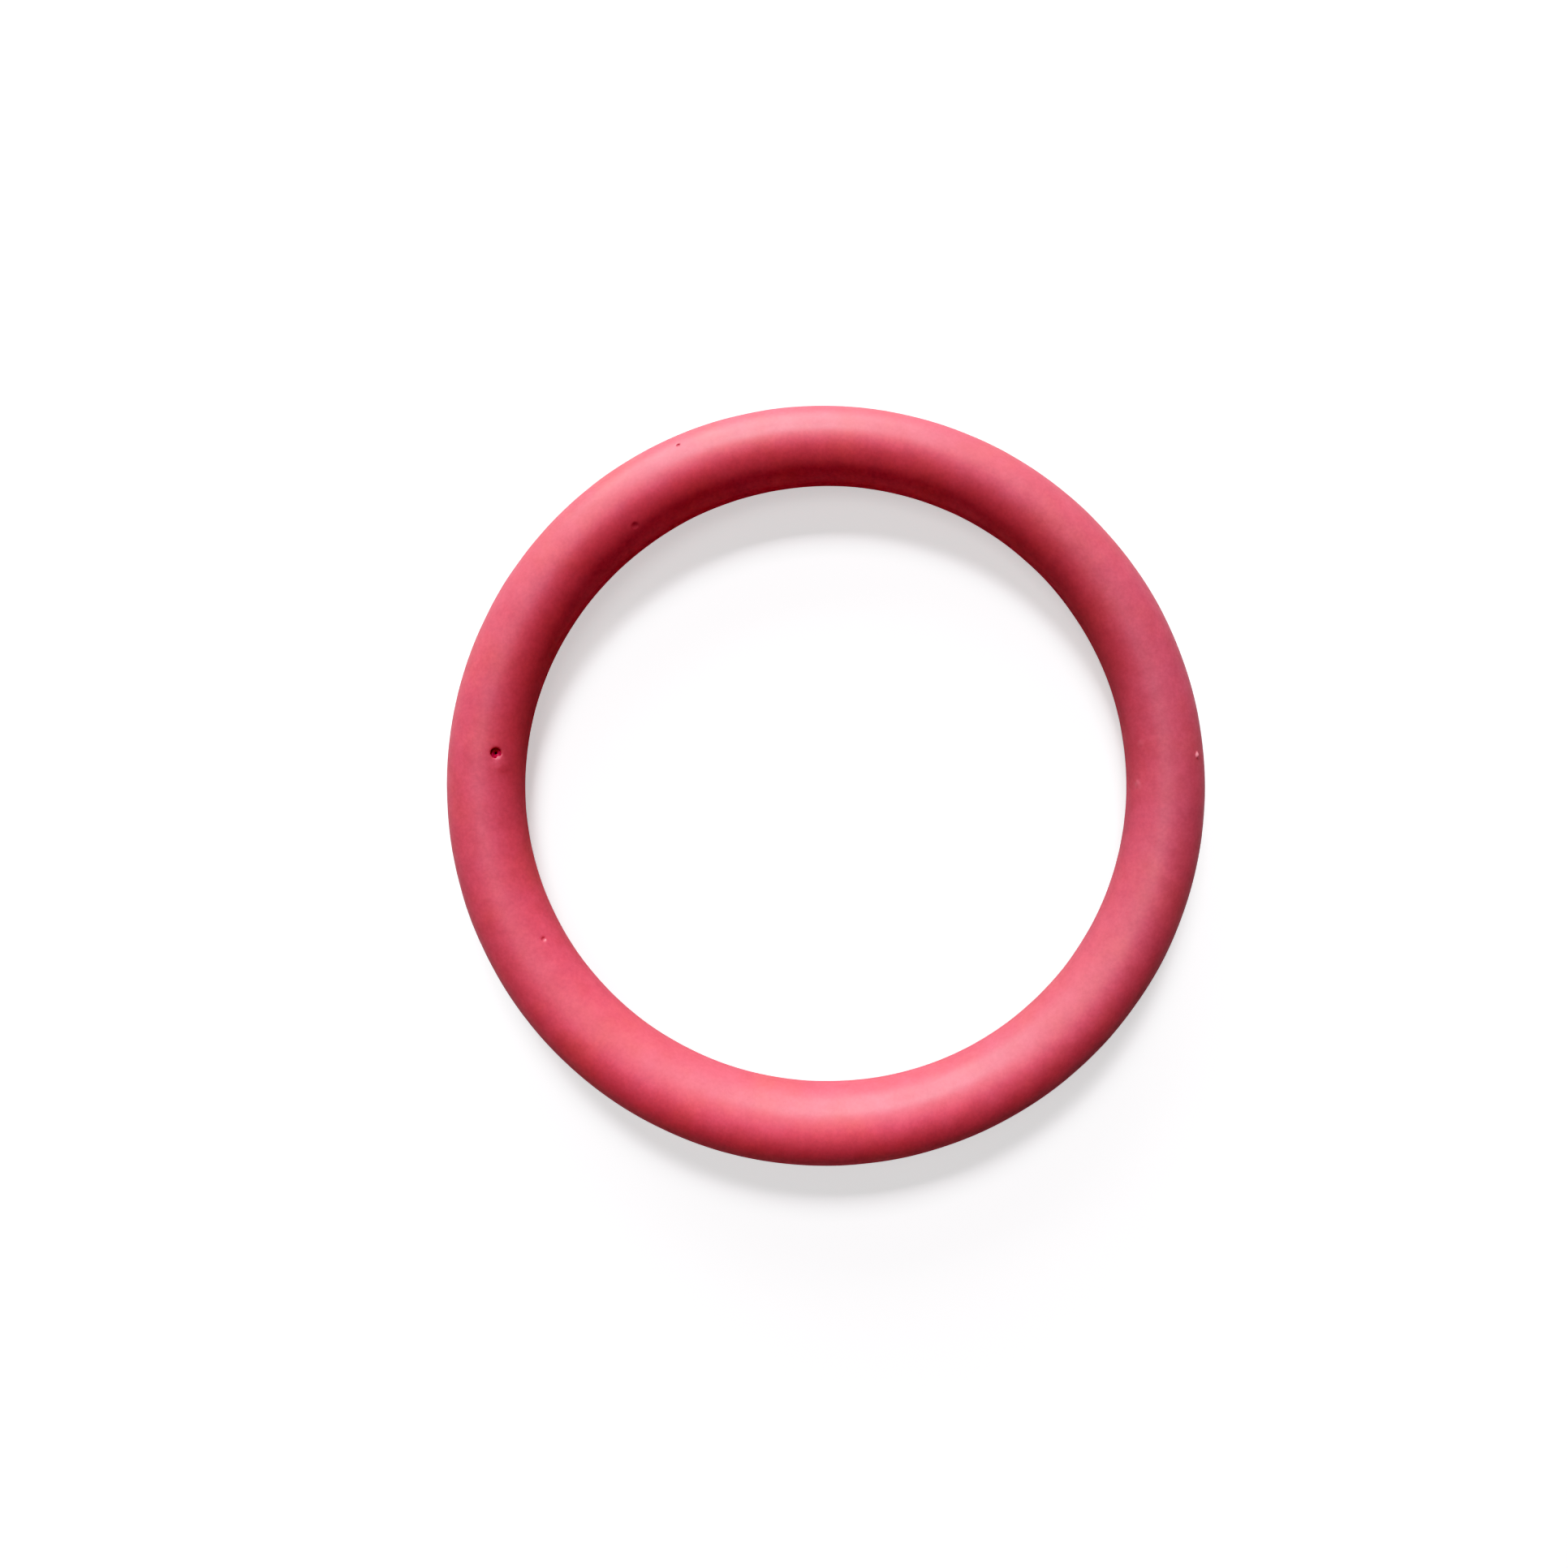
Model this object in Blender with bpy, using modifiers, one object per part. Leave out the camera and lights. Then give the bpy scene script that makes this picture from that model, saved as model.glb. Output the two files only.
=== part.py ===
"""Soft round-section juggling ring: one hollow moulded skin, and the valve bung held inside it.

Units are metres and +Z is up. The ring lies flat on z = 0, and its axis is the Z axis.
"""

import math

import bmesh
import bpy
from mathutils import Matrix, Vector

# Driving dimensions of the ring
RING_OUTER_DIAMETER = 0.240
SECTION_DIAMETER = 0.0248
WALL_THICKNESS = 0.0020

# Where the needle hole comes out: round the ring from +X, and down the inner side from the crown
VALVE_AZIMUTH = math.radians(174.4)
VALVE_TILT = math.radians(28.6)

# Needle hole and the socket behind it
MOUTH_DIAMETER = 0.0044
THROAT_DIAMETER = 0.0032
SOCKET_DIAMETER = 0.0060
SOCKET_COLLAR_DIAMETER = 0.0094
SOCKET_CEILING_THICKNESS = 0.0016
SOCKET_LENGTH = 0.0060

# Valve bung
BUNG_GAP = 0.0003
BUNG_FLANGE_DIAMETER = 0.0082
BUNG_FLANGE_THICKNESS = 0.0012
BUNG_EDGE_CHAMFER = 0.0004
NEEDLE_SEAT_DIAMETER = 0.0018
NEEDLE_SEAT_DEPTH = 0.0005
NEEDLE_CHANNEL_DIAMETER = 0.0008
NEEDLE_CHANNEL_DEPTH = 0.0040

# Facets. The outer section has 4n + 2 sides, so its lowest side lies flat on z = 0.
RING_SEGMENTS = 96
SKIN_SIDES = 26
CAVITY_SIDES = 16
TURNED_SEGMENTS = 24

MERGE_DISTANCE = 0.00001
SMOOTH_ANGLE = math.radians(35)

# Values that follow from the driving dimensions
SECTION_RADIUS = SECTION_DIAMETER / 2
SKIN_CORNER_RADIUS = SECTION_RADIUS / math.cos(math.pi / SKIN_SIDES)
CENTRELINE_RADIUS = RING_OUTER_DIAMETER / 2 - SKIN_CORNER_RADIUS
CAVITY_RADIUS = SECTION_RADIUS - WALL_THICKNESS
CAVITY_CORNER_RADIUS = CAVITY_RADIUS * 2 / (1 + math.cos(math.pi / CAVITY_SIDES))
SOCKET_TOP = SECTION_RADIUS - SOCKET_CEILING_THICKNESS
SOCKET_END = SOCKET_TOP - SOCKET_LENGTH

SKIN_COLOUR = (0.62, 0.075, 0.115, 1.0)
BUNG_COLOUR = (0.30, 0.012, 0.030, 1.0)


def clear_scene():
    """Remove every object, so that the model starts from nothing."""
    for old in list(bpy.data.objects):
        bpy.data.objects.remove(old, do_unlink=True)


def new_collection(name):
    """A collection linked to the scene."""
    collection = bpy.data.collections.new(name)
    bpy.context.scene.collection.children.link(collection)
    return collection


def move_to(obj, collection):
    """Keep an object in one collection only."""
    for old in list(obj.users_collection):
        old.objects.unlink(obj)
    collection.objects.link(obj)


def soft_material(name, colour, roughness):
    """Non-metallic Principled material for a soft moulded piece."""
    material = bpy.data.materials.new(name)
    material.use_nodes = True
    shader = material.node_tree.nodes["Principled BSDF"]
    shader.inputs["Base Color"].default_value = colour
    shader.inputs["Roughness"].default_value = roughness
    shader.inputs["Metallic"].default_value = 0.0
    material.diffuse_color = colour
    return material


def valve_frame():
    """Frame on the section's centre whose +Z comes out through the middle of the needle hole."""
    outward = Vector((math.cos(VALVE_AZIMUTH), math.sin(VALVE_AZIMUTH), 0.0))
    centre = outward * CENTRELINE_RADIUS + Vector((0.0, 0.0, SECTION_RADIUS))
    turn = Matrix.Rotation(VALVE_AZIMUTH, 4, "Z") @ Matrix.Rotation(-VALVE_TILT, 4, "Y")
    return Matrix.Translation(centre) @ turn


def torus(name, section_corner_radius, sides, collection):
    """Ring of round section, lying at the height of the section's centre."""
    bpy.ops.mesh.primitive_torus_add(
        major_segments=RING_SEGMENTS,
        minor_segments=sides,
        major_radius=CENTRELINE_RADIUS,
        minor_radius=section_corner_radius,
        location=(0.0, 0.0, SECTION_RADIUS),
    )
    obj = bpy.context.object
    obj.name = name
    move_to(obj, collection)
    return obj


def turned(name, profile, frame, collection):
    """Solid of revolution about the frame's Z axis. The profile is (radius, height), top to bottom."""
    mesh = bpy.data.meshes.new(name)
    bm = bmesh.new()
    verts = [bm.verts.new((radius, 0.0, height)) for radius, height in profile]
    for upper, lower in zip(verts, verts[1:]):
        bm.edges.new((upper, lower))
    bm.to_mesh(mesh)
    bm.free()
    obj = bpy.data.objects.new(name, mesh)
    collection.objects.link(obj)
    obj.matrix_world = frame
    screw = obj.modifiers.new("turn", "SCREW")
    screw.axis = "Z"
    screw.steps = TURNED_SEGMENTS
    screw.render_steps = TURNED_SEGMENTS
    screw.use_merge_vertices = True
    screw.merge_threshold = MERGE_DISTANCE
    return obj


def hide_as_cutter(obj):
    """Show a cutter as a wire, and keep it out of the finished model."""
    obj.hide_render = True
    obj.display_type = "WIRE"


def cut(obj, cutter):
    """Take the cutter's volume away from the object."""
    boolean = obj.modifiers.new("cut_" + cutter.name, "BOOLEAN")
    boolean.operation = "DIFFERENCE"
    boolean.solver = "EXACT"
    boolean.object = cutter


def shade(obj, material):
    """Give the piece its material and smooth round faces."""
    obj.data.materials.append(material)
    obj.data.shade_smooth()


def socket_collar_profile():
    """Plug-shaped volume that the cavity leaves standing round the valve socket."""
    radius = SOCKET_COLLAR_DIAMETER / 2
    return [(0.0, SECTION_RADIUS), (radius, SECTION_RADIUS), (radius, SOCKET_END), (0.0, SOCKET_END)]


def valve_bore_profile():
    """Funnel mouth, throat and socket, cut through the skin and its collar in one go."""
    mouth, throat = MOUTH_DIAMETER / 2, THROAT_DIAMETER / 2
    socket = SOCKET_DIAMETER / 2
    above_skin = mouth - throat
    below_collar = SOCKET_END - BUNG_GAP
    return [
        (0.0, SECTION_RADIUS + above_skin),
        (mouth + above_skin, SECTION_RADIUS + above_skin),
        (throat, SECTION_RADIUS - above_skin),
        (throat, SOCKET_TOP),
        (socket, SOCKET_TOP),
        (socket, below_collar),
        (0.0, below_collar),
    ]


def bung_profile():
    """Round bung with a needle seat and a blind needle channel down its middle."""
    top = SOCKET_TOP - BUNG_GAP
    body = SOCKET_DIAMETER / 2 - BUNG_GAP
    flange_top = SOCKET_END - BUNG_GAP
    flange_bottom = flange_top - BUNG_FLANGE_THICKNESS
    flange = BUNG_FLANGE_DIAMETER / 2
    seat, channel = NEEDLE_SEAT_DIAMETER / 2, NEEDLE_CHANNEL_DIAMETER / 2
    return [
        (0.0, top - NEEDLE_CHANNEL_DEPTH),
        (channel, top - NEEDLE_CHANNEL_DEPTH),
        (channel, top - NEEDLE_SEAT_DEPTH),
        (seat, top),
        (body - BUNG_EDGE_CHAMFER, top),
        (body, top - BUNG_EDGE_CHAMFER),
        (body, flange_top),
        (flange, flange_top),
        (flange, flange_bottom + BUNG_EDGE_CHAMFER),
        (flange - BUNG_EDGE_CHAMFER, flange_bottom),
        (0.0, flange_bottom),
    ]


def build_ring_skin(parts, cutters):
    """Hollow ring with the valve socket moulded on the inside of its wall."""
    collar = turned("socket_collar", socket_collar_profile(), valve_frame(), cutters)
    cavity = torus("cavity", CAVITY_CORNER_RADIUS, CAVITY_SIDES, cutters)
    valve_bore = turned("valve_bore", valve_bore_profile(), valve_frame(), cutters)
    cut(cavity, collar)
    for cutter in (collar, cavity, valve_bore):
        hide_as_cutter(cutter)

    skin = torus("ring_skin", SKIN_CORNER_RADIUS, SKIN_SIDES, parts)
    shade(skin, soft_material("ring_skin_soft_vinyl", SKIN_COLOUR, 0.42))
    skin.data.set_sharp_from_angle(angle=SMOOTH_ANGLE)
    cut(skin, cavity)
    cut(skin, valve_bore)
    return skin


def build_valve_bung(parts):
    """Self-sealing bung that fills the socket and hooks behind its collar."""
    bung = turned("valve_bung", bung_profile(), valve_frame(), parts)
    shade(bung, soft_material("valve_bung_rubber", BUNG_COLOUR, 0.6))
    return bung


def main():
    """Build the two pieces, and parent the bung to the skin that holds it."""
    clear_scene()
    parts = new_collection("juggling_ring")
    cutters = new_collection("cutters")
    skin = build_ring_skin(parts, cutters)
    bung = build_valve_bung(parts)
    bpy.context.view_layer.update()
    bung.parent = skin
    bung.matrix_parent_inverse = skin.matrix_world.inverted()


main()
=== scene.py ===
"""Looks of the soft round-section juggling ring: detailed skin, materials, stage, lights and camera.

Lengths are in metres. The ring lies flat on z = 0 and its axis is the Z axis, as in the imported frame.
"""

import math

import bmesh
import bpy
from mathutils import Matrix, Vector, noise


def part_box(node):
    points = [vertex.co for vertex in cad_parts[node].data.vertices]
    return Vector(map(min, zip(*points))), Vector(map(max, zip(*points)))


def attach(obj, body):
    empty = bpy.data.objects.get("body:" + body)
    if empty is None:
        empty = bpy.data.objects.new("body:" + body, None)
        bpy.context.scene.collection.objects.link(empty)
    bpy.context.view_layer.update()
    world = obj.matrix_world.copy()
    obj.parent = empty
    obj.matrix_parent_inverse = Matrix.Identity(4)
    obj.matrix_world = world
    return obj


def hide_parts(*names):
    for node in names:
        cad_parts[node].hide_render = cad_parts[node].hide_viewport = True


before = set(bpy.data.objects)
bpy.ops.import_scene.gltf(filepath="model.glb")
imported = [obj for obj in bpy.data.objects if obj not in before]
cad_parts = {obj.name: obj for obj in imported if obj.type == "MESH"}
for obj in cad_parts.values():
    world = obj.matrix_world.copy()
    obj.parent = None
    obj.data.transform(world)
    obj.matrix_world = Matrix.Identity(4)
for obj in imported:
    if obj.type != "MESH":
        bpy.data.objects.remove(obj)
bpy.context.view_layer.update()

MM = 0.001

# The ring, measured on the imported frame
SKIN_LOW, SKIN_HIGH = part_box("ring_skin")
OUTER_RADIUS = (SKIN_HIGH.x - SKIN_LOW.x) / 2
SECTION_RADIUS = (SKIN_HIGH.z - SKIN_LOW.z) / 2
CENTRELINE_RADIUS = OUTER_RADIUS - SECTION_RADIUS
WALL_THICKNESS = 2.0 * MM
CAVITY_RADIUS = SECTION_RADIUS - WALL_THICKNESS

# The needle hole: round the ring from +X, and down the inner side from the crown
VALVE_AZIMUTH = math.radians(174.4)
VALVE_TILT = math.radians(28.6)
THROAT_RADIUS = 1.6 * MM
SOCKET_RADIUS = 3.0 * MM
SOCKET_COLLAR_RADIUS = 4.7 * MM
SOCKET_TOP = SECTION_RADIUS - 1.6 * MM
SOCKET_END = SOCKET_TOP - 6.0 * MM

# How uneven the soft moulding is: (turns round the ring, cosine share, sine share)
SECTION_UNEVENNESS = [
    (0, -0.0060, 0.0000),
    (1, -0.0104, -0.0216),
    (2, -0.0229, -0.0065),
    (3, 0.0106, 0.0040),
]
CENTRELINE_UNEVENNESS = [
    (0, 0.0018, 0.0000),
    (1, 0.0013, 0.0026),
    (2, 0.0023, 0.0000),
    (3, -0.0005, -0.0010),
]

# Slow waves of the wall, with smaller ripples on them
WAVE_HEIGHT = 0.08 * MM
WAVE_LENGTH = 16 * MM
RIPPLE_HEIGHT_SHARE = 0.3
RIPPLE_LENGTH_SHARE = 0.4
RIPPLE_SHIFT = Vector((7.0, 3.0, 1.0))

# How far the soft ring settles onto the floor
SETTLING = 0.09 * MM

# Parting line of the mould, round the outer and the inner equator
SEAM_HEIGHT = 0.14 * MM
SEAM_HALF_WIDTH = 0.28 * MM
SEAM_MEAN_STRENGTH = 0.65
SEAM_COARSE_STRENGTH = 0.55
SEAM_FINE_STRENGTH = 0.25
SEAM_COARSE_SCALE = 9.0
SEAM_FINENESS = 6.0

# Grids of the outer surface and of the cavity
SKIN_COLUMNS = 720
SKIN_ROWS = 96
SEAM_ROW_OFFSETS = [0.10 * MM, 0.22 * MM, 0.36 * MM]
CAVITY_COLUMNS = 288
CAVITY_ROWS = 40
HOLE_HALF_CELLS = 6
MARK_HALF_CELLS = 4
LIFT_STEPS = 14
SHARP_ANGLE = math.radians(50)

# Laps of a mark: from its block's border to its rim, then from the rim to its middle
MARK_APRON_SHARES = (0.4, 0.75, 1.0)
MARK_LAP_SHARES = (0.93, 0.86, 0.78, 0.70, 0.62, 0.54, 0.45, 0.35, 0.24, 0.12)
MARK_ROUNDING = 1.5

# Laps of the needle hole: from its block's border to the mouth, and from the collar out over the cavity
MOUTH_APRON_SHARES = (0.5, 1.0)
CAVITY_APRON_SHARES = (0.0, 0.35, 0.7)

# Funnel mouth: (radius, depth below the skin), from the outside in, and the side that is cut deeper.
# Bearings are taken about the hole's axis, from the direction along the ring.
MOUTH_LEAN = 0.5
MOUTH_LEAN_BEARING = math.radians(-130)
MOUTH_PROFILE = [
    (4.4 * MM, 0.0),
    (3.8 * MM, 0.0),
    (3.2 * MM, 0.0),
    (2.7 * MM, 0.005 * MM),
    (2.34 * MM, 0.02 * MM),
    (2.10 * MM, 0.05 * MM),
    (1.94 * MM, 0.10 * MM),
    (1.82 * MM, 0.18 * MM),
    (1.73 * MM, 0.29 * MM),
    (1.65 * MM, 0.44 * MM),
    (1.62 * MM, 0.66 * MM),
    (1.61 * MM, 0.92 * MM),
    (1.60 * MM, 1.20 * MM),
]

# Shallow dent beside the mouth
DENT_CENTRE = (1.4 * MM, 0.3 * MM)
DENT_REACH = 3.0 * MM
DENT_DEPTH = 0.16 * MM

# Torn nib on the lip: it stands up a little, reaches into the mouth and has a painted highlight at an
# offset from the hole's axis
NIB_BEARING = math.radians(34)
NIB_SPREAD = math.radians(42)
NIB_DEPTH = 1.0 * MM
NIB_WIDTH = 0.75 * MM
NIB_HEIGHT = 0.16 * MM
NIB_HIGHLIGHT_OFFSET = 1.55 * MM
NIB_HIGHLIGHT_REACH = 0.75 * MM
NIB_HIGHLIGHT_STRENGTH = 0.34

# Throat, socket and collar: (radius, height above the section's centre), from the mouth inwards
SOCKET_PROFILE = [
    (THROAT_RADIUS, SOCKET_TOP + 0.12 * MM),
    (THROAT_RADIUS, SOCKET_TOP),
    (SOCKET_RADIUS, SOCKET_TOP),
    (SOCKET_RADIUS, SOCKET_END),
    (SOCKET_COLLAR_RADIUS, SOCKET_END),
]


# ---------------------------------------------------------------- marks of the moulding


def mark(azimuth, tilt, reach, height, sharpness, stretch, painted_light, painted_light_reach, painted_light_strength):
    """A small flaw of the moulding. Azimuth and tilt are in degrees, reaches and height in millimetres.
    The tilt is from the crown towards the inner side, and a height below zero is a pit. A sharper mark
    has a flatter middle and a steeper rim, and a stretched one is longer along the ring."""
    # The colour painted round the mark is a painted highlight on the bumps and the lower-left pit, and
    # painted shade in the other two pits
    return {
        "azimuth": math.radians(azimuth),
        "tilt": math.radians(tilt),
        "reach": reach * MM,
        "height": height * MM,
        "sharpness": sharpness,
        "stretch": stretch,
        "painted_light": painted_light,
        "painted_light_reach": painted_light_reach * MM,
        "painted_light_strength": painted_light_strength,
    }


# Painted light of the marks: a painted highlight, and painted shade in the pits
PAINTED_HIGHLIGHT = (0.92, 0.36, 0.40)
PAINTED_PIT_SHADE = (0.22, 0.022, 0.035)

# A faint dent and a dark pit at the upper left, both with painted shade, a pit at the lower left, and at
# the right a pale speck and two faint spots, these last four with painted highlights
MARKS = [
    mark(126.2, 39.8, 1.30, -0.20, 2.0, 1.0, PAINTED_PIT_SHADE, 1.7, 0.40),
    mark(113.4, -33.1, 0.60, -0.36, 2.5, 1.3, PAINTED_PIT_SHADE, 0.85, 0.75),
    mark(208.6, 42.3, 0.80, -0.32, 3.0, 1.0, PAINTED_HIGHLIGHT, 0.7, 0.10),
    mark(4.7, -38.6, 0.76, 0.56, 2.0, 1.7, PAINTED_HIGHLIGHT, 1.1, 0.65),
    mark(7.6, 50.0, 1.10, 0.09, 1.5, 1.3, PAINTED_HIGHLIGHT, 1.8, 0.05),
    mark(0.3, 60.5, 1.00, 0.16, 1.5, 1.6, PAINTED_HIGHLIGHT, 2.1, 0.09),
]


# ---------------------------------------------------------------- shape of the skin


def harmonic_sum(terms, azimuth):
    """Sum of cosine and sine shares at an azimuth."""
    return sum(c * math.cos(n * azimuth) + s * math.sin(n * azimuth) for n, c, s in terms)


def section_scale(azimuth):
    """Local section size, as a share of the nominal one."""
    return 1.0 + harmonic_sum(SECTION_UNEVENNESS, azimuth)


def section_centre(azimuth):
    """Centre of the section at an azimuth. A thicker stretch stands higher, as the whole ring rests on
    the floor."""
    radius = CENTRELINE_RADIUS * (1.0 + harmonic_sum(CENTRELINE_UNEVENNESS, azimuth))
    height = SECTION_RADIUS * section_scale(azimuth) - SETTLING
    return Vector((radius * math.cos(azimuth), radius * math.sin(azimuth), height))


def section_direction(azimuth, angle):
    """Unit vector in the section's plane; angle 0 points outward and a quarter turn points up."""
    flat = math.cos(angle)
    return Vector((flat * math.cos(azimuth), flat * math.sin(azimuth), math.sin(angle)))


def seam_height(azimuth, angle, radius):
    """Low ridge where the mould halves met, uneven along its length."""
    off_seam = abs(math.remainder(angle, math.pi)) * radius
    share = max(0.0, 1.0 - off_seam / SEAM_HALF_WIDTH)
    along = Vector((math.cos(azimuth), math.sin(azimuth), math.cos(angle))) * SEAM_COARSE_SCALE
    coarse = SEAM_COARSE_STRENGTH * noise.noise(along)
    fine = SEAM_FINE_STRENGTH * noise.noise(along * SEAM_FINENESS)
    strength = SEAM_MEAN_STRENGTH + coarse + fine
    return SEAM_HEIGHT * strength * share * share * (3 - 2 * share)


def wave_height(azimuth, angle):
    """Slow swelling of the soft wall."""
    point = section_centre(azimuth) + section_direction(azimuth, angle) * SECTION_RADIUS
    coarse = noise.noise(point / WAVE_LENGTH)
    fine = noise.noise(point / (RIPPLE_LENGTH_SHARE * WAVE_LENGTH) + RIPPLE_SHIFT)
    return WAVE_HEIGHT * (coarse + RIPPLE_HEIGHT_SHARE * fine)


def skin_radius(azimuth, angle):
    """Distance from the section's centre to the outer surface."""
    nominal = SECTION_RADIUS * section_scale(azimuth)
    return nominal + wave_height(azimuth, angle) + seam_height(azimuth, angle, nominal)


def cavity_radius(azimuth, angle):
    """Distance from the section's centre to the inside of the wall, the same at every angle."""
    return CAVITY_RADIUS * section_scale(azimuth)


def surface_point(azimuth, angle, radius_of):
    """Point of a tube surface. The lowest points rest on the floor and don't pass it."""
    point = section_centre(azimuth) + section_direction(azimuth, angle) * radius_of(azimuth, angle)
    point.z = max(point.z, 0.0)
    return point


def tube_coordinates(point):
    """(azimuth, section angle, distance from the section's centre) of a point."""
    azimuth = math.atan2(point.y, point.x)
    from_centre = point - section_centre(azimuth)
    outward = math.hypot(point.x, point.y) - math.hypot(*section_centre(azimuth).xy)
    return azimuth, math.atan2(from_centre.z, outward), from_centre.length


def mark_frame(azimuth, tilt):
    """Frame on the section's centre: +Z out through the mark, +X along the ring, +Y over the section."""
    up = section_direction(azimuth, math.pi / 2 + tilt)
    along = Vector((-math.sin(azimuth), math.cos(azimuth), 0.0))
    over = up.cross(along)
    turn = Matrix((along, over, up)).transposed()
    return Matrix.Translation(section_centre(azimuth)) @ turn.to_4x4()


def lifted(place, x, y, radius_of):
    """Point of a tube surface that lies over (x, y) of a mark's frame."""
    height = math.sqrt(max(SECTION_RADIUS**2 - y * y, 0.0))
    for _ in range(LIFT_STEPS):
        azimuth, angle, distance = tube_coordinates(place @ Vector((x, y, height)))
        height += radius_of(azimuth, angle) - distance
    return Vector((x, y, height))


# ---------------------------------------------------------------- mesh of the skin


def ring_grid(bm, columns, angles, radius_of, blocks):
    """Grid of a tube surface, left open at the blocks. Returns its vertices by column and row."""
    rows = len(angles)
    skipped = set()
    for column, row, half in blocks:
        for i in range(column - half, column + half):
            for j in range(row - half, row + half):
                skipped.add((i % columns, j % rows))
    verts = []
    for i in range(columns):
        azimuth = 2 * math.pi * i / columns
        verts.append([bm.verts.new(surface_point(azimuth, a, radius_of)) for a in angles])
    for i in range(columns):
        for j in range(rows):
            if (i, j) in skipped:
                continue
            k, m = (i + 1) % columns, (j + 1) % rows
            bm.faces.new((verts[i][j], verts[k][j], verts[k][m], verts[i][m]))
    return verts


def block_border(verts, column, row, half):
    """Vertices round an open block, one lap."""
    low_i, high_i, low_j, high_j = column - half, column + half, row - half, row + half
    lap = [(i, low_j) for i in range(low_i, high_i)]
    lap += [(high_i, j) for j in range(low_j, high_j)]
    lap += [(i, high_j) for i in range(high_i, low_i, -1)]
    lap += [(low_i, j) for j in range(high_j, low_j, -1)]
    columns, rows = len(verts), len(verts[0])
    return [verts[i % columns][j % rows] for i, j in lap]


def nearest_cell(azimuth, angle, columns, angles):
    """Column and row of the grid vertex nearest to a place on the tube."""
    column = round(azimuth / (2 * math.pi) * columns) % columns
    row = min(range(len(angles)), key=lambda j: abs(math.remainder(angles[j] - angle, 2 * math.pi)))
    return column, row


def polar(place, vert):
    """(bearing, radius) of a vertex about a mark's axis."""
    local = place.inverted() @ vert.co
    return math.atan2(local.y, local.x), math.hypot(local.x, local.y)


def ring_of_verts(bm, place, bearings, radii, height_of):
    """One lap of vertices about a mark's axis."""
    lap = []
    for bearing, radius in zip(bearings, radii):
        x, y = radius * math.cos(bearing), radius * math.sin(bearing)
        lap.append(bm.verts.new(place @ Vector((x, y, height_of(x, y, bearing)))))
    return lap


def bridge(bm, lap, next_lap, flip=False):
    """Faces between two laps with as many vertices."""
    count = len(lap)
    for k in range(count):
        m = (k + 1) % count
        corners = (lap[k], lap[m], next_lap[m], next_lap[k])
        bm.faces.new(corners[::-1] if flip else corners)


def blended(start, end, share):
    """Values part of the way from one list to another."""
    return [a + share * (b - a) for a, b in zip(start, end)]


def unwrapped(bearings, reference):
    """Bearings moved by whole turns to lie near the reference ones."""
    return [r + math.remainder(b - r, 2 * math.pi) for b, r in zip(bearings, reference)]


def build_mark(bm, border, flaw):
    """A closed dimple or pimple in an open block of the skin."""
    place = mark_frame(flaw["azimuth"], flaw["tilt"])
    places = [polar(place, v) for v in border]
    bearings, border_radii = [p[0] for p in places], [p[1] for p in places]
    reach, stretch = flaw["reach"], flaw["stretch"]
    rim = [reach / math.hypot(math.cos(b) / stretch, math.sin(b)) for b in bearings]
    lap = border

    def height_of(x, y, bearing):
        radius = math.hypot(x / stretch, y) / reach
        profile = max(0.0, 1.0 - radius ** flaw["sharpness"])
        return lifted(place, x, y, skin_radius).z + flaw["height"] * profile**MARK_ROUNDING

    for share in MARK_APRON_SHARES:
        next_lap = ring_of_verts(
            bm, place, bearings, blended(border_radii, rim, share), height_of
        )
        bridge(bm, lap, next_lap)
        lap = next_lap
    for share in MARK_LAP_SHARES:
        next_lap = ring_of_verts(bm, place, bearings, [r * share for r in rim], height_of)
        bridge(bm, lap, next_lap)
        lap = next_lap
    middle = bm.verts.new(place @ Vector((0.0, 0.0, height_of(0.0, 0.0, 0.0))))
    for k in range(len(lap)):
        bm.faces.new((lap[k], lap[(k + 1) % len(lap)], middle))


def bell(share):
    """Smooth hump: 1 in the middle, 0 from a share of 1 outwards."""
    return max(0.0, 1.0 - share * share) ** 2


def nib_share(bearing):
    """How far a bearing of the mouth belongs to the nib: 1 in its middle, 0 clear of it."""
    return bell(math.remainder(bearing - NIB_BEARING, 2 * math.pi) / NIB_SPREAD)


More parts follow.
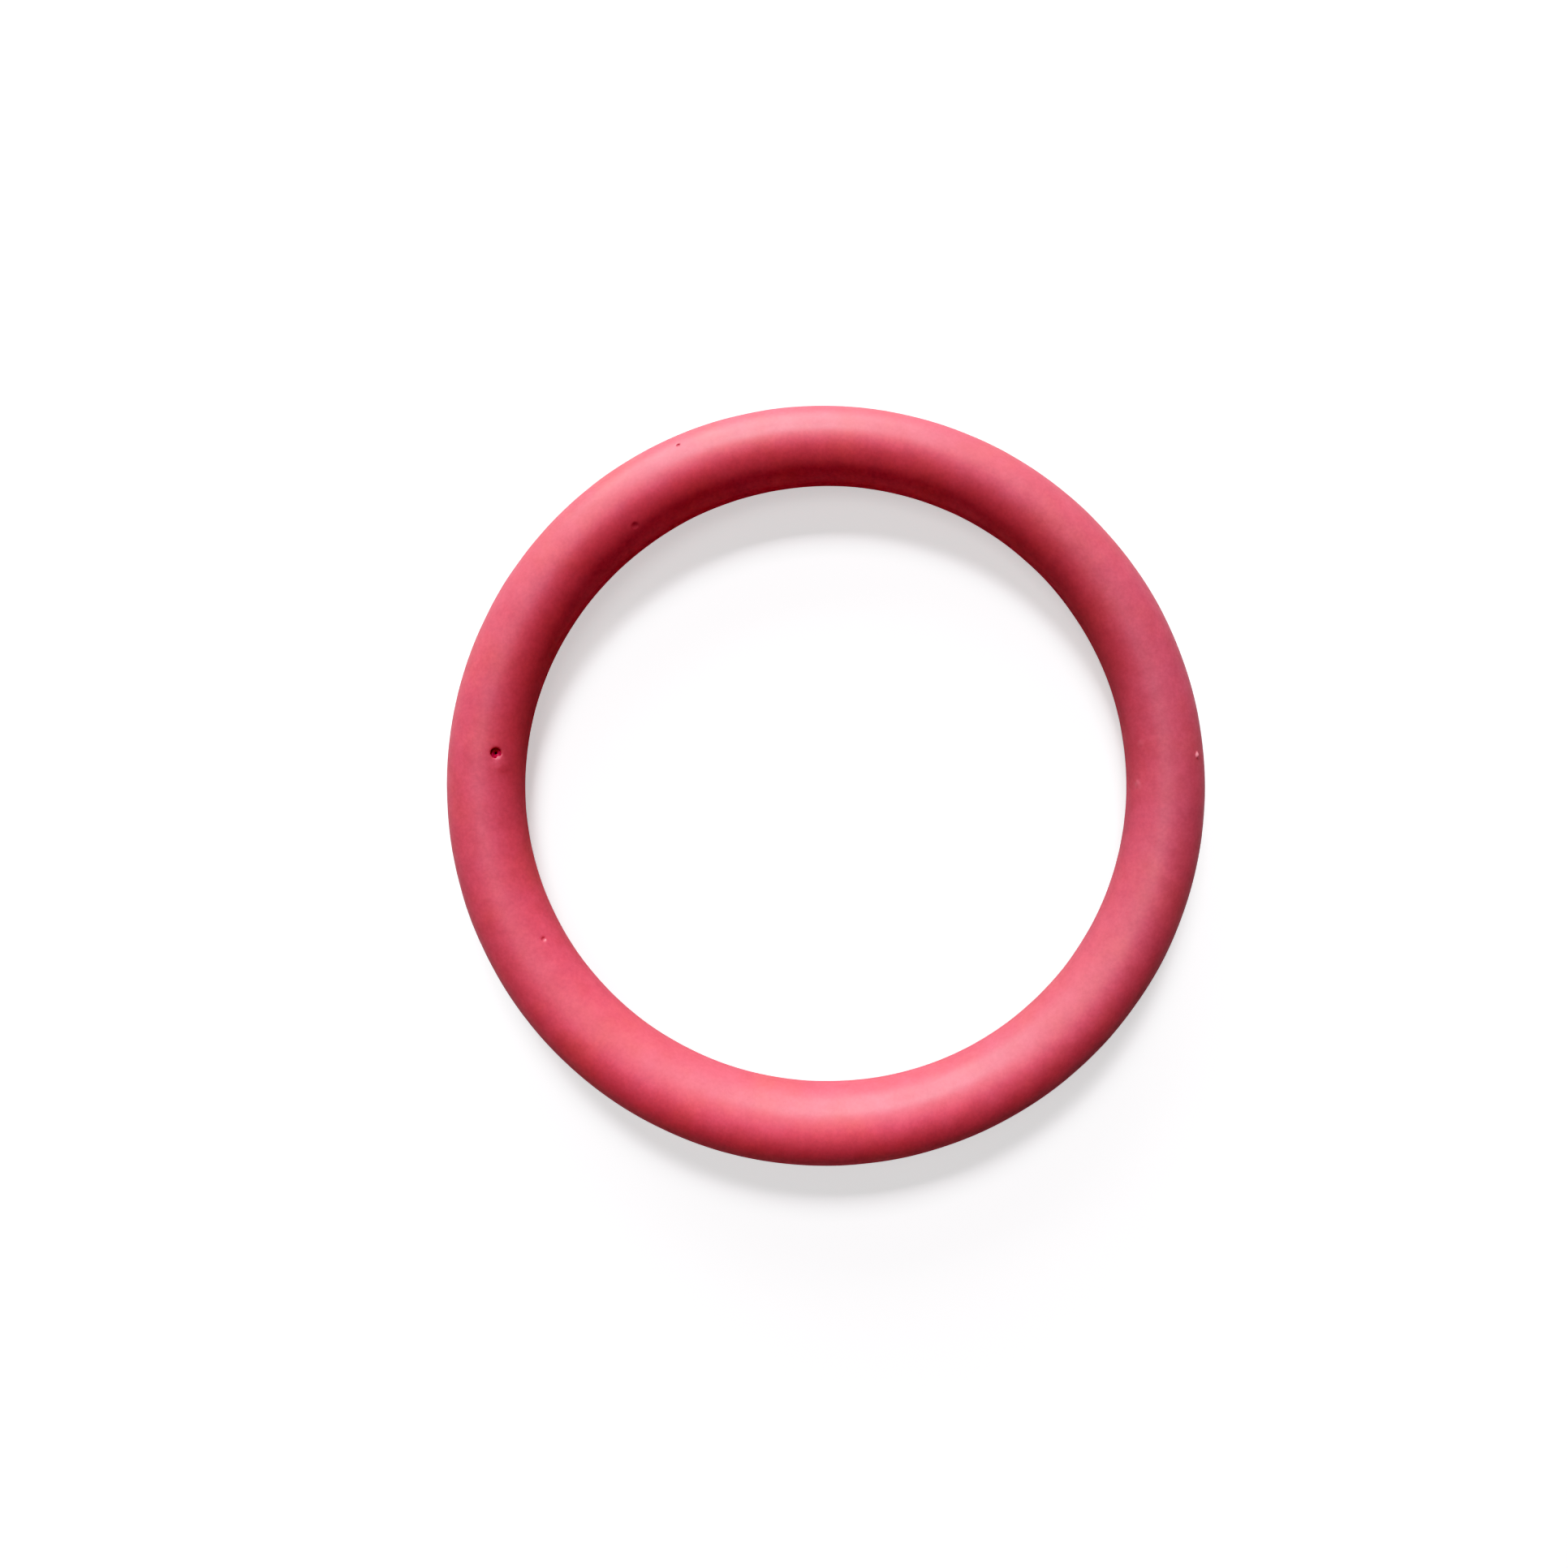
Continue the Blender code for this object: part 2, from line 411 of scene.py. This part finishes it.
def build_needle_hole(bm, skin_border, cavity_border):
    """Funnel mouth, throat, socket and collar, from the outer surface through to the cavity."""
    place = mark_frame(VALVE_AZIMUTH, VALVE_TILT)
    outer = [polar(place, v) for v in skin_border]
    bearings, border_radii = [p[0] for p in outer], [p[1] for p in outer]
    count = len(skin_border)
    lap = skin_border

    def mouth(depth):
        """Height of the funnel's wall where its nominal depth is this one."""

        def height_of(x, y, bearing):
            lean = 1.0 + MOUTH_LEAN * math.cos(bearing - MOUTH_LEAN_BEARING)
            dent = DENT_DEPTH * bell(math.dist((x, y), DENT_CENTRE) / DENT_REACH)
            nib = NIB_HEIGHT * nib_share(bearing) * bell(depth / NIB_DEPTH)
            return lifted(place, x, y, skin_radius).z - depth * lean - dent + nib

        return height_of

    first = MOUTH_PROFILE[0][0]
    for share in MOUTH_APRON_SHARES:
        radii = blended(border_radii, [first] * count, share)
        next_lap = ring_of_verts(bm, place, bearings, radii, mouth(0.0))
        bridge(bm, lap, next_lap)
        lap = next_lap
    for radius, depth in MOUTH_PROFILE[1:]:
        pinch = NIB_WIDTH * math.sin(math.pi * min(1.0, depth / NIB_DEPTH))
        radii = [radius - pinch * nib_share(b) for b in bearings]
        next_lap = ring_of_verts(bm, place, bearings, radii, mouth(depth))
        bridge(bm, lap, next_lap)
        lap = next_lap
    for radius, height in SOCKET_PROFILE:
        next_lap = ring_of_verts(
            bm, place, bearings, [radius] * count, lambda x, y, b, h=height: h
        )
        bridge(bm, lap, next_lap)
        lap = next_lap

    inner = [polar(place, v) for v in cavity_border]
    inner_bearings = unwrapped([p[0] for p in inner], bearings)
    inner_radii = [p[1] for p in inner]

    def on_cavity(x, y, bearing):
        return lifted(place, x, y, cavity_radius).z

    for share in CAVITY_APRON_SHARES:
        lap_bearings = blended(bearings, inner_bearings, share)
        radii = blended([SOCKET_COLLAR_RADIUS] * count, inner_radii, share)
        next_lap = ring_of_verts(bm, place, lap_bearings, radii, on_cavity)
        bridge(bm, lap, next_lap)
        lap = next_lap
    bridge(bm, lap, cavity_border)


def skin_angles():
    """Section angles of the outer grid: even rows, and close ones along the two seams."""
    angles = {2 * math.pi * j / SKIN_ROWS for j in range(SKIN_ROWS)}
    for seam in (0.0, math.pi):
        for offset in SEAM_ROW_OFFSETS:
            angles.add((seam + offset / SECTION_RADIUS) % (2 * math.pi))
            angles.add((seam - offset / SECTION_RADIUS) % (2 * math.pi))
    return sorted(angles)


def build_skin():
    """The hollow skin as one closed mesh."""
    outer_angles = skin_angles()
    inner_angles = [2 * math.pi * j / CAVITY_ROWS for j in range(CAVITY_ROWS)]
    valve_angle = math.pi / 2 + VALVE_TILT
    hole_block = (
        *nearest_cell(VALVE_AZIMUTH, valve_angle, SKIN_COLUMNS, outer_angles),
        HOLE_HALF_CELLS,
    )
    mark_blocks = [
        (
            *nearest_cell(m["azimuth"], math.pi / 2 + m["tilt"], SKIN_COLUMNS, outer_angles),
            MARK_HALF_CELLS,
        )
        for m in MARKS
    ]
    cavity_block = (
        *nearest_cell(VALVE_AZIMUTH, valve_angle, CAVITY_COLUMNS, inner_angles),
        HOLE_HALF_CELLS,
    )

    bm = bmesh.new()
    outer = ring_grid(bm, SKIN_COLUMNS, outer_angles, skin_radius, [hole_block, *mark_blocks])
    inner = ring_grid(bm, CAVITY_COLUMNS, inner_angles, cavity_radius, [cavity_block])
    for m, block in zip(MARKS, mark_blocks):
        build_mark(bm, block_border(outer, *block), m)
    build_needle_hole(bm, block_border(outer, *hole_block), block_border(inner, *cavity_block))
    loose = [v for v in bm.verts if not v.link_faces]
    bmesh.ops.delete(bm, geom=loose, context="VERTS")
    bmesh.ops.recalc_face_normals(bm, faces=bm.faces)

    mesh = bpy.data.meshes.new("soft_ring_skin")
    bm.to_mesh(mesh)
    bm.free()
    mesh.shade_smooth()
    mesh.set_sharp_from_angle(angle=SHARP_ANGLE)
    skin = bpy.data.objects.new("soft_ring_skin", mesh)
    bpy.context.scene.collection.objects.link(skin)
    return skin


# ---------------------------------------------------------------- materials

# Colours of the clouded vinyl, and the painted shade that it turns to towards the ring's sides
SKIN_ROSE = (0.69, 0.100, 0.140)
SKIN_RED = (0.70, 0.096, 0.129)
SKIN_CORAL = (0.72, 0.103, 0.119)
SKIN_SIDE_SHADE = (0.30, 0.095, 0.125)

# Painted shade on the ring's sides: how strong, and the X, as a share of the outer radius, where each
# one starts
SIDE_SHADE_RIGHT = 0.56
SIDE_SHADE_LEFT = 0.34
SIDE_SHADE_RIGHT_START = 0.2
SIDE_SHADE_LEFT_START = -0.5

# Noises of the vinyl, in waves per metre
CLOUD_SCALE = 45.0
MOTTLE_SCALE = 170.0
SPECKLE_SCALE = 900.0
GLOSS_SCALE = 120.0
PEEL_SCALE = 420.0
GRAIN_SCALE = 2600.0

# What the vinyl's noises change: shades of colour, roughness, and relief in metres
MOTTLE_SHADES = (0.93, 1.06)
SPECKLE_SHADES = (0.94, 1.04)
SKIN_ROUGHNESS = (0.46, 0.54)
PEEL_RELIEF = 0.05 * MM
GRAIN_RELIEF = 0.03 * MM

# The painted light round a mark or the nib is full in this share of its radius
PAINTED_LIGHT_CORE = 0.3

# The bung's rubber, darkened as painted shade for the bottom of the needle hole
BUNG_PAINTED_SHADE_DARK = (0.44, 0.022, 0.085)
BUNG_PAINTED_SHADE_DUSTY = (0.52, 0.034, 0.105)
BUNG_ROUGHNESS = (0.55, 0.75)
DUST_SCALE = 700.0
DUST_RELIEF = 0.08 * MM


def noise_texture(tree, coordinates, scale, detail, rough):
    """Noise over the object's own coordinates, with this many waves per metre."""
    node = tree.nodes.new("ShaderNodeTexNoise")
    node.inputs["Scale"].default_value = scale
    node.inputs["Detail"].default_value = detail
    node.inputs["Roughness"].default_value = rough
    tree.links.new(coordinates, node.inputs["Vector"])
    return node.outputs["Fac"]


def ramp(tree, factor, stops):
    """Colour ramp over (position, colour) stops."""
    node = tree.nodes.new("ShaderNodeValToRGB")
    elements = node.color_ramp.elements
    while len(elements) < len(stops):
        elements.new(0.5)
    for element, (position, colour) in zip(elements, stops):
        element.position = position
        element.color = (*colour, 1.0)
    tree.links.new(factor, node.inputs["Fac"])
    return node.outputs["Color"]


def mix_in(tree, factor, base, colour):
    """A plain colour mixed into a base; the factor and the base are sockets."""
    node = tree.nodes.new("ShaderNodeMix")
    node.data_type = "RGBA"
    sockets = {s.name: s for s in node.inputs if s.enabled}
    tree.links.new(factor, sockets["Factor"])
    tree.links.new(base, sockets["A"])
    sockets["B"].default_value = (*colour, 1.0)
    return [s for s in node.outputs if s.enabled][0]


def map_range(tree, value, source, target):
    """Value carried from one range to another, and held inside it."""
    node = tree.nodes.new("ShaderNodeMapRange")
    node.inputs["From Min"].default_value = source[0]
    node.inputs["From Max"].default_value = source[1]
    node.inputs["To Min"].default_value = target[0]
    node.inputs["To Max"].default_value = target[1]
    tree.links.new(value, node.inputs["Value"])
    return node.outputs["Result"]


def bump(tree, height, distance, strength, normal=None):
    """Bump from a height, in metres of relief."""
    node = tree.nodes.new("ShaderNodeBump")
    node.inputs["Distance"].default_value = distance
    node.inputs["Strength"].default_value = strength
    tree.links.new(height, node.inputs["Height"])
    if normal is not None:
        tree.links.new(normal, node.inputs["Normal"])
    return node.outputs["Normal"]


def near(tree, place, centre, radius, strength):
    """Strength at a point of the object, falling to nothing at a radius from it."""
    distance = tree.nodes.new("ShaderNodeVectorMath")
    distance.operation = "DISTANCE"
    tree.links.new(place, distance.inputs[0])
    distance.inputs[1].default_value = centre
    return map_range(tree, distance.outputs["Value"], (PAINTED_LIGHT_CORE * radius, radius), (strength, 0.0))


def painted_light_spots():
    """(centre, radius, strength, colour) of the painted light: a painted highlight on the nib, and the
    marks' painted highlights and painted shade.
    """
    mouth = mark_frame(VALVE_AZIMUTH, VALVE_TILT)
    x, y = NIB_HIGHLIGHT_OFFSET * math.cos(NIB_BEARING), NIB_HIGHLIGHT_OFFSET * math.sin(NIB_BEARING)
    nib = mouth @ lifted(mouth, x, y, skin_radius)
    places = [(nib, NIB_HIGHLIGHT_REACH, NIB_HIGHLIGHT_STRENGTH, PAINTED_HIGHLIGHT)]
    for m in MARKS:
        place = mark_frame(m["azimuth"], m["tilt"])
        centre = place @ lifted(place, 0.0, 0.0, skin_radius)
        places.append((centre, m["painted_light_reach"], m["painted_light_strength"], m["painted_light"]))
    return places


def skin_colour(tree, place):
    """Clouded pigment, with painted shade towards the ring's sides and painted light at the marks,
    speckled and mottled.
    """
    clouds = noise_texture(tree, place, CLOUD_SCALE, detail=4.0, rough=0.62)
    base = ramp(tree, clouds, [(0.35, SKIN_ROSE), (0.5, SKIN_RED), (0.68, SKIN_CORAL)])
    speckle = noise_texture(tree, place, SPECKLE_SCALE, detail=2.0, rough=0.6)
    darker = map_range(tree, speckle, (0.35, 0.65), SPECKLE_SHADES)
    mottle = noise_texture(tree, place, MOTTLE_SCALE, detail=3.0, rough=0.6)
    shade = tree.nodes.new("ShaderNodeMath")
    shade.operation = "MULTIPLY"
    tree.links.new(darker, shade.inputs[0])
    tree.links.new(map_range(tree, mottle, (0.32, 0.68), MOTTLE_SHADES), shade.inputs[1])

    # Painted shade: the vinyl turns darker and duller towards the right side and, less strongly, the
    # left side
    across = tree.nodes.new("ShaderNodeSeparateXYZ")
    tree.links.new(place, across.inputs["Vector"])
    to_right = (SIDE_SHADE_RIGHT_START * OUTER_RADIUS, OUTER_RADIUS)
    to_left = (SIDE_SHADE_LEFT_START * OUTER_RADIUS, -OUTER_RADIUS)
    right = map_range(tree, across.outputs["X"], to_right, (0.0, SIDE_SHADE_RIGHT))
    left = map_range(tree, across.outputs["X"], to_left, (0.0, SIDE_SHADE_LEFT))
    base = mix_in(tree, right, base, SKIN_SIDE_SHADE)
    base = mix_in(tree, left, base, SKIN_SIDE_SHADE)
    # Painted highlights at the nib and the marks, and painted shade in two pits
    for centre, radius, strength, colour in painted_light_spots():
        base = mix_in(tree, near(tree, place, centre, radius, strength), base, colour)

    tint = tree.nodes.new("ShaderNodeVectorMath")
    tint.operation = "SCALE"
    tree.links.new(base, tint.inputs[0])
    tree.links.new(shade.outputs["Value"], tint.inputs["Scale"])
    return tint.outputs["Vector"]


def skin_material():
    """Satin pinkish red soft vinyl: clouded pigment, fine even grain, slightly uneven gloss."""
    material = bpy.data.materials.new("satin_soft_vinyl")
    material.use_nodes = True
    tree = material.node_tree
    shader = tree.nodes["Principled BSDF"]
    place = tree.nodes.new("ShaderNodeTexCoord").outputs["Object"]
    tree.links.new(skin_colour(tree, place), shader.inputs["Base Color"])

    gloss = noise_texture(tree, place, GLOSS_SCALE, detail=3.0, rough=0.6)
    tree.links.new(map_range(tree, gloss, (0.3, 0.7), SKIN_ROUGHNESS), shader.inputs["Roughness"])

    grain = noise_texture(tree, place, GRAIN_SCALE, detail=2.0, rough=0.6)
    orange_peel = noise_texture(tree, place, PEEL_SCALE, detail=2.0, rough=0.5)
    relief = bump(tree, orange_peel, PEEL_RELIEF, 0.25)
    relief = bump(tree, grain, GRAIN_RELIEF, 0.6, relief)
    tree.links.new(relief, shader.inputs["Normal"])

    shader.inputs["Subsurface Weight"].default_value = 0.12
    shader.inputs["Subsurface Radius"].default_value = (1.0, 0.25, 0.30)
    shader.inputs["Subsurface Scale"].default_value = 0.0015
    shader.inputs["IOR"].default_value = 1.5
    shader.inputs["Specular IOR Level"].default_value = 0.42
    shader.inputs["Coat Weight"].default_value = 0.06
    shader.inputs["Coat Roughness"].default_value = 0.31
    shader.inputs["Coat IOR"].default_value = 1.5
    shader.inputs["Sheen Weight"].default_value = 0.06
    shader.inputs["Sheen Roughness"].default_value = 0.35
    return material


def bung_material():
    """Matt crimson rubber with a dusty, mottled face, darkened as painted shade for the bottom of the
    needle hole.
    """
    material = bpy.data.materials.new("matt_bung_rubber_painted_shade")
    material.use_nodes = True
    tree = material.node_tree
    shader = tree.nodes["Principled BSDF"]
    place = tree.nodes.new("ShaderNodeTexCoord").outputs["Object"]
    dust = noise_texture(tree, place, DUST_SCALE, detail=3.0, rough=0.6)
    colour = ramp(tree, dust, [(0.35, BUNG_PAINTED_SHADE_DARK), (0.7, BUNG_PAINTED_SHADE_DUSTY)])
    tree.links.new(colour, shader.inputs["Base Color"])
    tree.links.new(map_range(tree, dust, (0.3, 0.7), BUNG_ROUGHNESS), shader.inputs["Roughness"])
    tree.links.new(bump(tree, dust, DUST_RELIEF, 0.6), shader.inputs["Normal"])
    shader.inputs["Specular IOR Level"].default_value = 0.25
    shader.inputs["Subsurface Weight"].default_value = 0.7
    shader.inputs["Subsurface Radius"].default_value = (1.0, 0.12, 0.2)
    shader.inputs["Subsurface Scale"].default_value = 0.002
    return material


def board_material(name, colour, glow=0.0):
    """Plain matt board or paper, which may glow like a light table."""
    material = bpy.data.materials.new(name)
    material.use_nodes = True
    shader = material.node_tree.nodes["Principled BSDF"]
    shader.inputs["Base Color"].default_value = (*colour, 1.0)
    shader.inputs["Roughness"].default_value = 0.8
    shader.inputs["Specular IOR Level"].default_value = 0.2
    shader.inputs["Emission Color"].default_value = (*colour, 1.0)
    shader.inputs["Emission Strength"].default_value = glow
    return material


# ---------------------------------------------------------------- stage

# The floor that the camera sees, the card below it that gives the bounced light, and the backdrop
FLOOR_SIZE = 8.0
FLOOR_DROP = 0.05 * MM
FLOOR_COLOUR = (0.92, 0.92, 0.92)
FLOOR_GLOW = 0.46
CARD_DROP = 0.1 * MM
CARD_COLOUR = (0.47, 0.33, 0.33)
BACKDROP_RADIUS = 5.5
BACKDROP_COLOUR = (0.80, 0.80, 0.82)
BACKDROP_GLOW = 0.75


def build_floor():
    """Plain pale floor just under the ring. It glows a little, and gives the ring no light."""
    bpy.ops.mesh.primitive_plane_add(size=FLOOR_SIZE, location=(0.0, 0.0, -FLOOR_DROP))
    floor = bpy.context.object
    floor.name = "studio_floor"
    floor.data.materials.append(board_material("pale_floor", FLOOR_COLOUR, FLOOR_GLOW))
    floor.visible_diffuse = False
    floor.visible_glossy = False
    floor.visible_shadow = False


def build_card():
    """Reddish grey card below the floor, which stands in for it in bounced light and isn't seen."""
    bpy.ops.mesh.primitive_plane_add(size=FLOOR_SIZE, location=(0.0, 0.0, -CARD_DROP))
    card = bpy.context.object
    card.name = "grey_bounce_card"
    card.data.materials.append(board_material("grey_card", CARD_COLOUR))
    card.visible_camera = False


def build_backdrop():
    """Pale paper all round, which only the camera sees, for views from the side."""
    bpy.ops.mesh.primitive_uv_sphere_add(segments=64, ring_count=32, radius=BACKDROP_RADIUS)
    backdrop = bpy.context.object
    backdrop.name = "pale_backdrop"
    backdrop.data.materials.append(board_material("pale_paper", BACKDROP_COLOUR, BACKDROP_GLOW))
    backdrop.data.shade_smooth()
    backdrop.visible_diffuse = False
    backdrop.visible_glossy = False
    backdrop.visible_transmission = False
    backdrop.visible_shadow = False


def area_light(name, azimuth, elevation, distance, size, power, colour=(1.0, 1.0, 1.0)):
    """Soft light that the camera doesn't see, turned to the ring's centre. Azimuth and elevation are in
    degrees, and the size is the width and the height of its face."""
    data = bpy.data.lights.new(name, "AREA")
    data.shape = "RECTANGLE"
    data.size, data.size_y = size
    data.energy = power
    data.color = colour
    light = bpy.data.objects.new(name, data)
    bpy.context.scene.collection.objects.link(light)
    around, up = math.radians(azimuth), math.radians(elevation)
    light.location = distance * Vector(
        (math.cos(around) * math.cos(up), math.sin(around) * math.cos(up), math.sin(up))
    )
    light.visible_camera = False
    light.rotation_euler = (-light.location).to_track_quat("-Z", "Y").to_euler()


# Colours of the high soft box and of the weak light from all round
SOFT_BOX_TINT = (1.0, 0.93, 0.98)
WORLD_COLOUR = (1.0, 0.88, 0.90)
WORLD_STRENGTH = 0.035


def build_lights():
    """A high soft box and a low window beyond the ring's far side, a weak light overhead, a weaker
    one on the near side, and a trace of light from all round."""
    area_light(
        "high_soft_box", azimuth=98.0, elevation=46.0, distance=4.0,
        size=(1.5, 0.84), power=126.0, colour=SOFT_BOX_TINT,
    )
    area_light("low_window", azimuth=103.0, elevation=16.0, distance=4.0, size=(3.8, 1.9), power=172.0)
    area_light("overhead", azimuth=150.0, elevation=78.0, distance=2.0, size=(0.9, 0.9), power=4.5)
    area_light("near_fill", azimuth=268.0, elevation=50.0, distance=2.0, size=(1.0, 1.0), power=1.4)
    world = bpy.data.worlds.new("studio_world")
    world.use_nodes = True
    background = world.node_tree.nodes["Background"]
    background.inputs["Color"].default_value = (*WORLD_COLOUR, 1.0)
    background.inputs["Strength"].default_value = WORLD_STRENGTH
    bpy.context.scene.world = world


# Camera: its height in centreline radii, and the ring's width and place as shares of the frame's width.
# The section is searched in these steps for the point that looks farthest out.
CAMERA_RADII_ABOVE = 3.4
RING_SHARE_OF_FRAME = 0.4841
RING_OFFSET_IN_FRAME = (0.0265, -0.0010)
SENSOR_WIDTH_MM = 36.0
STEPS_PER_DEGREE = 4


def build_camera():
    """Camera straight above the ring, close to it, with +Y up in the picture. It isn't turned, as an
    unturned camera looks straight down."""
    height = CAMERA_RADII_ABOVE * CENTRELINE_RADIUS
    data = bpy.data.cameras.new("camera")
    camera = bpy.data.objects.new("camera", data)
    bpy.context.scene.collection.objects.link(camera)
    camera.location = (0.0, 0.0, SECTION_RADIUS + height)
    data.sensor_width = SENSOR_WIDTH_MM
    apparent_diameter = 2 * max(
        (CENTRELINE_RADIUS + SECTION_RADIUS * math.cos(a))
        / (height - SECTION_RADIUS * math.sin(a))
        for a in (math.radians(step / STEPS_PER_DEGREE) for step in range(90 * STEPS_PER_DEGREE))
    )
    data.lens = SENSOR_WIDTH_MM * RING_SHARE_OF_FRAME / apparent_diameter
    data.shift_x = -RING_OFFSET_IN_FRAME[0]
    data.shift_y = -RING_OFFSET_IN_FRAME[1]
    data.clip_start = 0.01
    bpy.context.scene.camera = camera


# Light in, light out: a toe that sinks the darks and a soft shoulder
TONE_POINTS = [
    (0.016, 0.0),
    (0.062, 0.038),
    (0.165, 0.186),
    (0.38, 0.45),
    (0.81, 0.86),
    (1.0, 0.95),
]


def set_tone():
    """Display transform of a contrasty exposure."""
    view = bpy.context.scene.view_settings
    view.view_transform = "Standard"
    view.use_curve_mapping = True
    mapping = view.curve_mapping
    mapping.extend = "EXTRAPOLATED"
    combined = mapping.curves[3]
    points = combined.points
    while len(points) < len(TONE_POINTS):
        points.new(0.5, 0.5)
    for point, place in zip(points, TONE_POINTS):
        point.location = place
    mapping.update()


# ---------------------------------------------------------------- the scene

skin = build_skin()
skin.data.materials.append(skin_material())
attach(skin, "root")
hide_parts("ring_skin")

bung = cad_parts["valve_bung"]
bung.data.materials.clear()
bung.data.materials.append(bung_material())

build_floor()
build_card()
build_backdrop()
build_lights()
build_camera()
set_tone()
